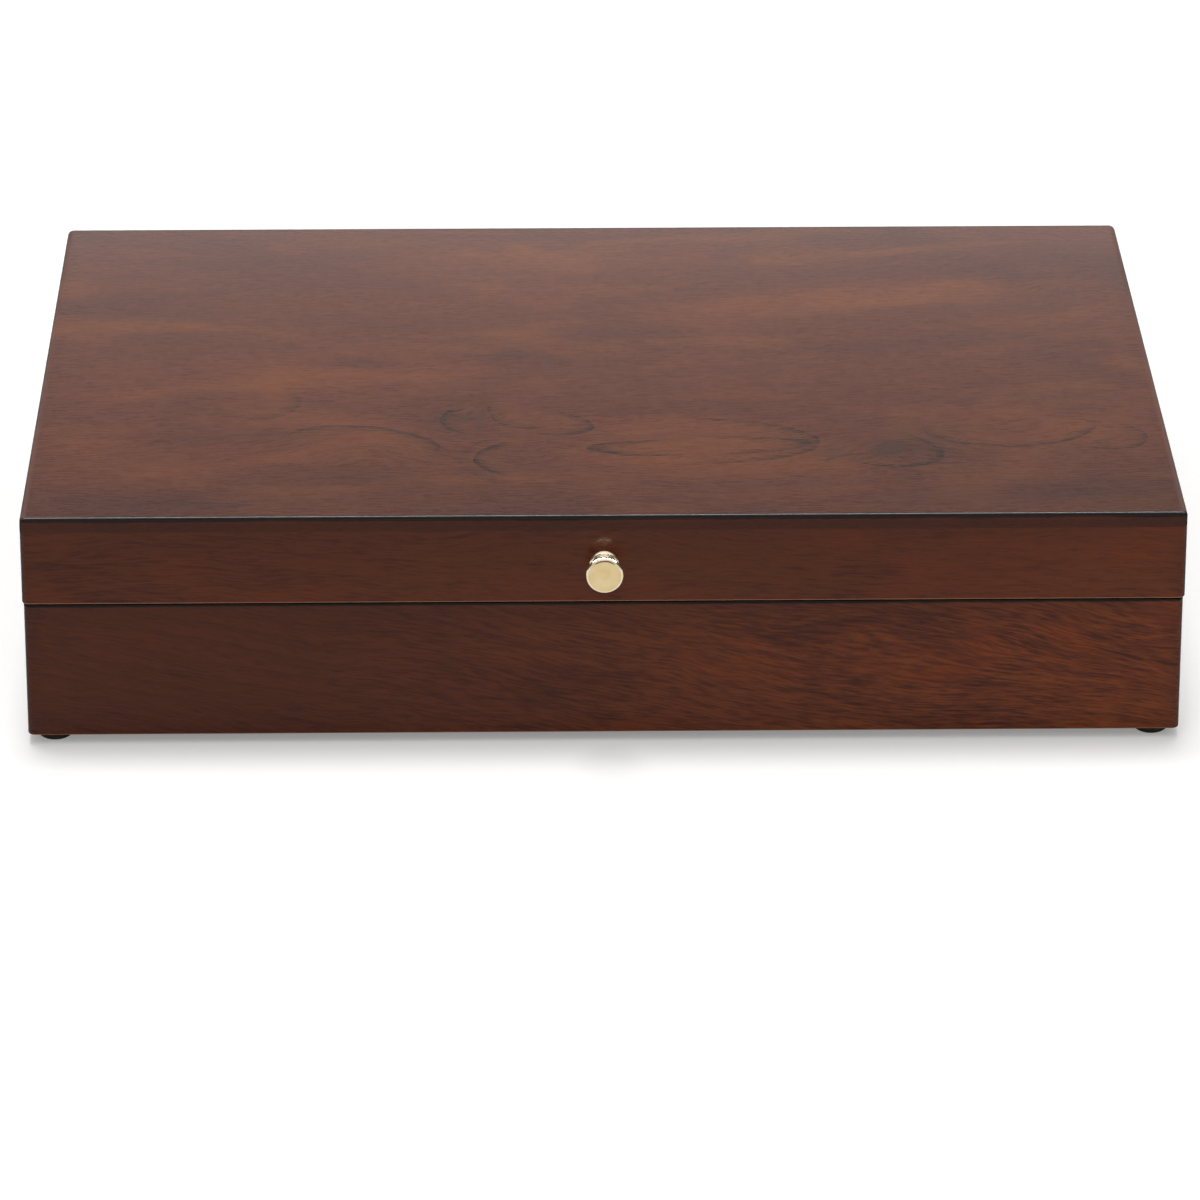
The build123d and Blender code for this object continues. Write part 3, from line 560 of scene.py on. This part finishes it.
def screwTree():
    # One countersunk wood screw, head up at the origin, set on every point with its cross turned at random
    tree = bpy.data.node_groups.new("countersunkScrews", "GeometryNodeTree")
    kinds = {"Places": "Geometry", "seed": "Int", "material": "Material"}
    for key in ("Places", "headRadius", "coreRadius", "threadReach", "threadPitch", "headDepth", "length", "tip",
                "recessLength", "recessWidth", "recessDepth", "flip", "seed", "material"):
        tree.interface.new_socket(key, in_out="INPUT", socket_type="NodeSocket" + kinds.get(key, "Float"))
    tree.interface.new_socket("Screws", in_out="OUTPUT", socket_type="NodeSocketGeometry")
    given = addNode(tree, "NodeGroupInput").outputs

    cone = addNode(tree, "GeometryNodeMeshCone", {
        "Vertices": 24, "Radius Top": given["headRadius"], "Radius Bottom": given["coreRadius"],
        "Depth": given["headDepth"]}, fill_type="NGON")
    straight = addNode(tree, "Math", [given["length"], given["tip"]], operation="SUBTRACT")
    shank = addNode(tree, "GeometryNodeMeshCylinder", {
        "Vertices": 16, "Radius": given["coreRadius"], "Depth": straight}, fill_type="NONE")
    point = addNode(tree, "GeometryNodeMeshCone", {
        "Vertices": 16, "Radius Top": given["coreRadius"], "Radius Bottom": 0.0, "Depth": given["tip"]},
        fill_type="NONE")
    run = addNode(tree, "Math", [straight, given["headDepth"]], operation="SUBTRACT")
    turns = addNode(tree, "Math", [run, given["threadPitch"]], operation="DIVIDE")
    spiral = addNode(tree, "GeometryNodeCurveSpiral", {
        "Resolution": 16, "Rotations": turns, "Start Radius": given["coreRadius"],
        "End Radius": given["coreRadius"], "Height": run})
    ridge = addNode(tree, "GeometryNodeCurvePrimitiveCircle", {
        "Resolution": 4, "Radius": given["threadReach"]}, mode="RADIUS")
    thread = addNode(tree, "GeometryNodeCurveToMesh", {
        "Curve": spiral, "Profile Curve": ridge.outputs[0], "Fill Caps": True})

    # each is made about its own origin and let down to its place under the head
    placed = []
    for shape, length, share in ((cone, given["headDepth"], -1.0), (shank, straight, -0.5),
                                 (point, given["length"], -1.0), (thread, straight, -1.0)):
        down = addNode(tree, "Math", [length, share], operation="MULTIPLY")
        below = addNode(tree, "CombineXYZ", {2: down})
        placed.append(addNode(tree, "GeometryNodeTransform", {"Geometry": shape, "Translation": below}))

    deep = addNode(tree, "Math", [given["recessDepth"], 2.0], operation="MULTIPLY")
    barSize = addNode(tree, "CombineXYZ", [given["recessLength"], given["recessWidth"], deep])
    bar = addNode(tree, "GeometryNodeMeshCube", {"Size": barSize})
    crossBar = addNode(tree, "GeometryNodeTransform", {"Geometry": bar, "Rotation": (0, 0, math.pi / 2)})
    cross = addNode(tree, "GeometryNodeMeshBoolean", operation="UNION")
    for side in (bar, crossBar):
        tree.links.new(side.outputs[0], cross.inputs["Mesh 2"])
    slotted = addNode(tree, "GeometryNodeMeshBoolean", {
        "Mesh 1": placed[0], "Mesh 2": cross.outputs["Mesh"]}, operation="DIFFERENCE")

    whole = addNode(tree, "GeometryNodeJoinGeometry")
    for part in (slotted, *placed[1:]):
        tree.links.new(part.outputs[0], whole.inputs[0])
    spin = addNode(tree, "FunctionNodeRandomValue", {
        "Min": 0.0, "Max": math.pi / 2, "Seed": given["seed"]}, data_type="FLOAT")
    facing = addNode(tree, "CombineXYZ", {0: given["flip"], 2: spin})
    driven = addNode(tree, "GeometryNodeInstanceOnPoints", {
        "Points": given["Places"], "Instance": whole, "Rotation": facing})
    real = addNode(tree, "GeometryNodeRealizeInstances", [driven])
    dressed = addNode(tree, "GeometryNodeSetMaterial", {"Geometry": real, "Material": given["material"]})
    addNode(tree, "NodeGroupOutput", [dressed])
    return tree


def evaluatedMesh(thing):
    return bpy.data.meshes.new_from_object(thing.evaluated_get(bpy.context.evaluated_depsgraph_get()))


def drivenScrews(tree, body, flip):
    node = body + "_hinge_screws"
    low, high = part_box(node)
    across, level = (low.y + high.y) / 2, low.z if flip else high.z
    points = [((x + k * screws["pitch"]) * mm, across, level) for x in screws["hinges"] for k in (-1, 0, 1)]
    seeds = newObject(node + "_places", meshFrom(node + "_places", points, []))
    row = seeds.modifiers.new("screws", "NODES")
    row.node_group = tree
    values = dict(screws, flip=flip, material=hingeBrass)
    for item in tree.interface.items_tree:
        if item.in_out == "INPUT" and item.name in values:
            row[item.identifier] = values[item.name]
    piece = newObject("hinge_screws_" + body, evaluatedMesh(seeds))
    bpy.data.objects.remove(seeds)
    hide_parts(node)
    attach(piece, body)


screwSet = screwTree()
drivenScrews(screwSet, "base", 0.0)
drivenScrews(screwSet, "lid", math.pi)
print("hinge screws driven")


def liningCloth(name, look):
    # Brushed cotton flannel over thin foam: matt, with a short nap that lies in drifts, so that the colour
    # shifts softly between lit and shaded patches, and a pale bloom at glancing angles.
    material, tree = newMaterial(name)
    place = addNode(tree, "TexCoord").outputs["Object"]
    nap = addNode(tree, "TexNoise", {"Vector": place, "Scale": 1 / look["nap"], "Detail": 3.0, "Roughness": 0.65})
    tuft = addNode(tree, "TexNoise", {
        "Vector": place, "Scale": 1 / look["tuft"], "Detail": 3.0, "Roughness": 0.6, "Distortion": 0.4})
    drift = addNode(tree, "TexNoise", {
        "Vector": place, "Scale": 1 / look["drift"], "Detail": 3.0, "Roughness": 0.5, "Distortion": 0.5})
    small = addNode(tree, "Mix", [0.5, tuft, nap])
    tone = addNode(tree, "Mix", [0.6, drift, small])
    spread = addNode(tree, "MapRange", [tone, 0.36, 0.64])
    colour = addNode(tree, "Mix", [spread, linear(look["shade"]), linear(look["colour"])], data_type="RGBA")
    pile = addNode(tree, "Mix", [0.4, nap, tuft])
    relief = addNode(tree, "Bump", {"Strength": 0.6, "Distance": look["pile"], "Height": pile})
    rough = addNode(tree, "MapRange", [nap, 0.3, 0.7, 0.86, 1.0])
    skin = addNode(tree, "BsdfPrincipled", {
        "Base Color": colour, "Roughness": rough, "IOR": 1.45, "Specular IOR Level": 0.2, "Normal": relief,
        "Sheen Weight": 0.35, "Sheen Roughness": 0.45, "Sheen Tint": linear(look["bloom"])})
    addNode(tree, "OutputMaterial", {"Surface": skin})
    return material


cloth = liningCloth("brushedFlannelLining", {
    "colour": "#49332b", "shade": "#3b2822", "bloom": "#9c7a68",
    "nap": 0.55 * mm,            # real fibres are 0.02 mm; drawn coarser so that the nap shows
    "tuft": 1.9 * mm,
    "drift": 30 * mm,
    "pile": 0.25 * mm})


def finishPiece(mesh, name, node, body=None):
    # turns the faces outwards, smooths, and puts the piece in its solid's place; a pad rides on a body
    work = bmesh.new()
    work.from_mesh(mesh)
    bmesh.ops.remove_doubles(work, verts=work.verts, dist=0.002 * mm)
    bmesh.ops.recalc_face_normals(work, faces=work.faces)
    work.to_mesh(mesh)
    work.free()
    mesh.polygons.foreach_set("use_smooth", [True] * len(mesh.polygons))
    mesh.materials.clear()
    mesh.materials.append(cloth)
    piece = newObject(name, mesh)
    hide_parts(node)
    if body:
        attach(piece, body)
    return piece


def ringMesh(name, rings):
    # closed rings of points, one after another, joined by faces, with a face over each end
    count = len(rings[0])
    points = [p for ring in rings for p in ring]
    faces = [(r * count + i, r * count + j, (r + 1) * count + j, (r + 1) * count + i)
             for r in range(len(rings) - 1) for i in range(count) for j in [(i + 1) % count]]
    ends = [tuple(reversed(range(count))), tuple(range(len(points) - count, len(points)))]
    return meshFrom(name, points, faces + ends)


def spacing(length, ends, step):
    # places from 0 to length: close together near both ends, then evenly spaced
    near = [d for d in ends if d < length / 2]
    first, span = near[-1], length - 2 * near[-1]
    count = max(2, round(span / step))
    middle = [first + span * i / count for i in range(1, count)]
    return near + middle + [length - d for d in reversed(near)]


def ripple(point, size, reach, seed):
    # slow unevenness of cloth over foam, always inwards, so that a piece stays in its solid's space
    return reach * (0.5 + 0.5 * noise.noise(Vector(point) / size + Vector((seed, 2 * seed, 0))))


def evenly(low, high, steps):
    return [low + (high - low) * i / steps for i in range(steps + 1)]


def arc(x, y, wide, tall, start, stop, steps):
    # points on a round about a centre, from one angle in degrees to another
    return [(x + wide * math.cos(math.radians(a)), y + tall * math.sin(math.radians(a)))
            for a in evenly(start, stop, steps)]


def gridFaces(rows, columns):
    return [(i * columns + j, (i + 1) * columns + j, (i + 1) * columns + j + 1, i * columns + j + 1)
            for i in range(rows - 1) for j in range(columns - 1)]


liner = {
    "crown": 2.6 * mm,           # radius of the cloth over the board's top edges
    "hollow": 0.25 * mm,         # how far the inner face sinks at its top and bottom
    "seamDip": 0.45 * mm,        # the cloth tucks in at each mitre
    "seamReach": 1.4 * mm,
    "ripple": 0.22 * mm,
    "faceRipple": 26 * mm,
    "topRipple": 34 * mm,
    "step": 5 * mm,
}


def paddedLiner(side):
    low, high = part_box(f"base_{side}_liner")
    along, out = (0, 1) if side in ("front", "back") else (1, 0)
    outward = -1 if side in ("front", "left") else 1
    thick = min(high[0] - low[0], high[1] - low[1])
    wall = low[out] if outward < 0 else high[out]
    bottom, top, crown = low.z, high.z, liner["crown"]
    section = [(0.0, bottom), (0.0, bottom + 20 * mm), (0.0, top - crown)]
    section += arc(crown, top - crown, crown, crown, 180, 90, 6)[1:]
    section += arc(thick - crown, top - crown, crown, crown, 90, 0, 6)
    for share in evenly(0.0, 1.0, 9)[1:]:
        swell = liner["hollow"] * (1 - math.sin(math.pi * min(1.0, share * 1.02)))
        section.append((thick - swell, top - crown - share * (top - crown - bottom)))
    full = high[along] - low[along]
    rings = []
    for d in spacing(full, [0, 0.35 * mm, 0.8 * mm, 1.5 * mm, 2.6 * mm, 5 * mm], liner["step"]):
        ring = []
        for t, z in section:
            share = d / full
            place = low[along] + t + share * (full - 2 * t)
            fromEnd = min(share, 1 - share) * (full - 2 * t)
            tuck = liner["seamDip"] * math.exp(-fromEnd / liner["seamReach"])
            inward = t
            if t > crown * 0.5:
                spot = (place, z, 0) if along == 0 else (0, z, place)
                inward = t - tuck - ripple(spot, liner["faceRipple"], liner["ripple"], 3 + ord(side[0]))
            lift = z
            if z > top - crown:
                sunk = tuck + ripple((place, t * 3, 0), liner["topRipple"], liner["ripple"], ord(side[0]))
                lift = z - sunk * (z - top + crown) / crown
            point = [0.0, 0.0, lift]
            point[along] = place
            point[out] = wall - outward * inward
            ring.append(point)
        rings.append(ring)
    finishPiece(ringMesh(f"liner_{side}", rings), f"padded_liner_{side}", f"base_{side}_liner", "base")


for side in ("front", "back", "left", "right"):
    paddedLiner(side)
print("base liners made")


def softSlab(name, node, out, sign, look, body):
    # a thin padded sheet glued to a flat board: its face rolls down at the rim and wavers a little
    low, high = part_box(node)
    across = [i for i in range(3) if i != out]
    thick, roll = high[out] - low[out], look["roll"]
    ends = [0, 0.08 * roll, 0.3 * roll, 0.62 * roll, roll, 2 * roll, 4 * roll]
    places = [spacing(high[i] - low[i], ends, look["step"]) for i in across]
    back = low[out] if sign > 0 else high[out]
    nu, nv = len(places[0]), len(places[1])
    points, faces = [], gridFaces(nu, nv)
    for u in places[0]:
        for v in places[1]:
            edge = min(u, v, places[0][-1] - u, places[1][-1] - v)
            drop = roll - math.sqrt(max(0.0, roll * roll - (roll - min(edge, roll)) ** 2))
            swell = look["crown"] * math.exp(-edge / look["crownReach"])
            rise = thick - drop * 0.9 - swell - ripple((u, v, 0), look["rippleSize"], look["ripple"], look["seed"])
            point = [0.0, 0.0, 0.0]
            point[across[0]], point[across[1]] = low[across[0]] + u, low[across[1]] + v
            point[out] = back + sign * max(rise, thick * 0.15)
            points.append(point)
    rim = [i * nv for i in range(nu)] + [(nu - 1) * nv + j for j in range(1, nv)]
    rim += [i * nv + nv - 1 for i in range(nu - 2, -1, -1)] + list(range(nv - 2, 0, -1))
    start = len(points)
    for k in rim:
        point = list(points[k])
        point[out] = back
        points.append(point)
    for k in range(len(rim)):
        m = (k + 1) % len(rim)
        faces.append((rim[k], rim[m], start + m, start + k))
    faces.append(tuple(range(start, len(points))))
    finishPiece(meshFrom(name, points, faces), name, node, body)


softSlab("padded_floor", "floor_pad", 2, 1, {
    "roll": 1.6 * mm, "step": 5 * mm, "crown": 0.35 * mm, "crownReach": 14 * mm, "ripple": 0.3 * mm,
    "rippleSize": 38 * mm, "seed": 1.0, "fill": 0.7}, "base")
softSlab("padded_lid_lining", "lid_lining", 2, -1, {
    "roll": 1.0 * mm, "step": 5 * mm, "crown": 0.25 * mm, "crownReach": 12 * mm, "ripple": 0.25 * mm,
    "rippleSize": 44 * mm, "seed": 2.0, "fill": 0.7}, "lid")
for side, out, sign in (("front", 1, 1), ("left", 0, 1), ("right", 0, -1)):
    softSlab(f"lid_strip_{side}", f"lid_{side}_lining", out, sign, {
        "roll": 0.6 * mm, "step": 5 * mm, "crown": 0.1 * mm, "crownReach": 4 * mm, "ripple": 0.12 * mm,
        "rippleSize": 22 * mm, "seed": 5.0 + sign, "fill": 0.8}, "lid")
print("pads and lid strips made")


def coveredCopy(name, node, look, body):
    # Cloth drawn over a shaped core: the solid is filled again with an even mesh and its edges are softened.
    # Where there is room for it, a short simulation blows the cloth up a little, held to a small reach.
    source = nodes[node].data.copy()
    work = bmesh.new()
    work.from_mesh(source)
    bmesh.ops.remove_doubles(work, verts=work.verts, dist=0.01 * mm)
    work.to_mesh(source)
    work.free()
    shell = newObject(name, source)
    remesh = shell.modifiers.new("even", "REMESH")
    remesh.mode, remesh.voxel_size = "VOXEL", look["voxel"]
    even = evaluatedMesh(shell)
    shell.modifiers.clear()
    shell.data = even
    low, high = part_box(node)
    work = bmesh.new()
    work.from_mesh(even)
    for _ in range(look["soften"]):
        bmesh.ops.smooth_vert(work, verts=work.verts, factor=0.5, use_axis_x=True, use_axis_y=True, use_axis_z=True)
    work.to_mesh(even)
    work.free()
    if "pressure" in look:
        rest = [v.co.copy() for v in even.vertices]
        puff = shell.modifiers.new("puff", "CLOTH")
        weave = puff.settings
        weave.use_pressure, weave.uniform_pressure_force = True, look["pressure"]
        weave.effector_weights.gravity = 0
        weave.quality, weave.mass = 5, 0.2
        weave.tension_stiffness = weave.compression_stiffness = 18
        puff.collision_settings.use_collision = False
        puff.point_cache.frame_start, puff.point_cache.frame_end = 1, look["frames"]
        for frameNumber in range(1, look["frames"] + 1):
            scene.frame_set(frameNumber)
        puffed = evaluatedMesh(shell)
        shell.modifiers.clear()
        scene.frame_set(1)
        for v, old in zip(puffed.vertices, rest):
            step = v.co - old
            if step.length > look["reach"]:
                step *= look["reach"] / step.length
            v.co = old + step
        shell.data = even = puffed
    normals = [v.normal.copy() for v in even.vertices]
    for v, normal in zip(even.vertices, normals):
        sunk = v.co - normal * ripple(v.co, look["rippleSize"], look["ripple"], look["seed"])
        v.co = [min(max(sunk[i], low[i]), high[i]) for i in range(3)]
    bpy.data.objects.remove(shell)
    finishPiece(even, name, node, body)


coveredCopy("padded_flatware_rack", "flatware_rack", {
    "voxel": 1.6 * mm, "soften": 5, "pressure": 4.0, "frames": 14, "reach": 0.6 * mm, "ripple": 0.3 * mm,
    "rippleSize": 17 * mm, "seed": 7.0, "fill": 0.8}, "base")
coveredCopy("covered_knife_comb", "knife_rack_comb", {
    "voxel": 1.4 * mm, "soften": 4, "ripple": 0.2 * mm, "rippleSize": 15 * mm, "seed": 11.0, "fill": 0.9}, "lid")
print("flatware rack and knife comb covered")

board = {"edge": 2.2 * mm, "swell": 0.35 * mm, "step": 5 * mm, "endRoll": 1.2 * mm, "ripple": 0.25 * mm,
         "faceRipple": 30 * mm, "backRipple": 40 * mm}


def paddedBoard():
    # the padded board across the knife bays: one round free edge, one edge against the lid's back wall
    low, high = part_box("knife_rack_board")
    middle, half, edge = (low.z + high.z) / 2, (high.z - low.z) / 2, board["edge"]
    section = [(high.y, low.z), (high.y, high.z)]
    reach = high.y - low.y - edge
    section += [(high.y - reach * s, high.z) for s in evenly(0, 1, 9)[1:]]
    section += arc(low.y + edge, middle, edge, half, 90, 270, 10)[1:-1]
    section += [(high.y - reach * s, low.z) for s in evenly(1, 0, 9)[:-1]]
    rings = []
    for d in spacing(high.x - low.x, [0, 0.25 * mm, 0.7 * mm, 1.3 * mm, 3 * mm], board["step"]):
        fromEnd = min(d, high.x - low.x - d)
        roll = board["endRoll"]
        shrink = 1 - 0.35 * (1 - math.sqrt(max(0.0, 1 - (1 - min(fromEnd, roll) / roll) ** 2)))
        ring = []
        for y, z in section:
            inner = (high.y - y) / (high.y - low.y)
            pinch = board["swell"] * (1 - math.sin(math.pi * min(1.0, 0.12 + 0.8 * inner)))
            wave = ripple((d, y * 1.4, z), board["faceRipple"], board["ripple"], 13.0)
            thin = (half * shrink - pinch * 0.6 - wave) / half
            backwards = ripple((d, 0, 0), board["backRipple"], board["ripple"], 17.0) if inner > 0.9 else 0.0
            ring.append((low.x + d, y + backwards, middle + (z - middle) * thin))
        rings.append(ring)
    finishPiece(ringMesh("board", rings), "padded_knife_board", "knife_rack_board", "lid")


paddedBoard()
print("knife board made")

cover = {
    "thick": 0.3 * mm,
    "glued": 4.5 * mm,           # how far it runs down the lip's inner face
    "pleats": 9,
    "pleatHalf": 0.5 * mm,
    "flatLength": 35 * mm,
    "step": 4 * mm,
    "clear": 0.22 * mm,
    "slack": (0.4 * mm, 0.35 * mm),              # from the lip's round and from the board to the first pleats
    "waver": 0.12 * mm,
    "waverSize": 9 * mm,
}


def hingeCover():
    # The strip of cloth over the hinges. It is glued to the lip and to the board, and its free middle lies gathered
    # in small pleats in the slot between them, pleats which on the real chest open into a band as the lid opens.
    lipLow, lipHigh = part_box("base_back_liner")
    coverLow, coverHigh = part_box("hinge_cover")
    boardLow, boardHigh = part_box("knife_rack_board")
    crown, lift = liner["crown"], cover["clear"] + cover["thick"] / 2
    face, top = lipLow.y, lipHigh.z
    line = [(face - lift, top - crown - s) for s in evenly(cover["glued"], 0, 3)]
    line += arc(face + crown, top - crown, crown + lift, crown + lift, 180, 90, 6)[1:]
    gatherStart = Vector((0, face + crown + cover["slack"][0], top + lift))
    gatherEnd = Vector((0, boardHigh.y - cover["slack"][1], boardLow.z - lift - 0.1 * mm))
    line.append((gatherStart.y, gatherStart.z))
    base = len(line)
    for s in evenly(0, 1, cover["pleats"] * 6)[1:]:
        fade = min(1.0, 6 * s, 6 * (1 - s))
        centre = gatherStart.lerp(gatherEnd, s)
        room = (top + boardLow.z) / 2
        height = centre.z + (room - centre.z) * fade
        line.append((centre.y, height + fade * cover["pleatHalf"] * math.sin(2 * math.pi * cover["pleats"] * s)))
    points, length = [], coverHigh.x - coverLow.x
    stations = spacing(length, [0, 1 * mm], cover["step"])
    for d in stations:
        for k, (y, z) in enumerate(line):
            wave = noise.noise(Vector((d / cover["waverSize"], k * 0.35, 0)))
            waver = cover["waver"] * wave if k > base else 0.0
            points.append((coverLow.x + d, y, z + waver))
    mesh = meshFrom("hinge_cover_cloth", points, gridFaces(len(stations), len(line)))
    piece = finishPiece(mesh, "hinge_cover_cloth", "hinge_cover")
    wall = piece.modifiers.new("thickness", "SOLIDIFY")
    wall.thickness, wall.offset = cover["thick"], 0.0
    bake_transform(piece)


hingeCover()
print("hinge cover made")
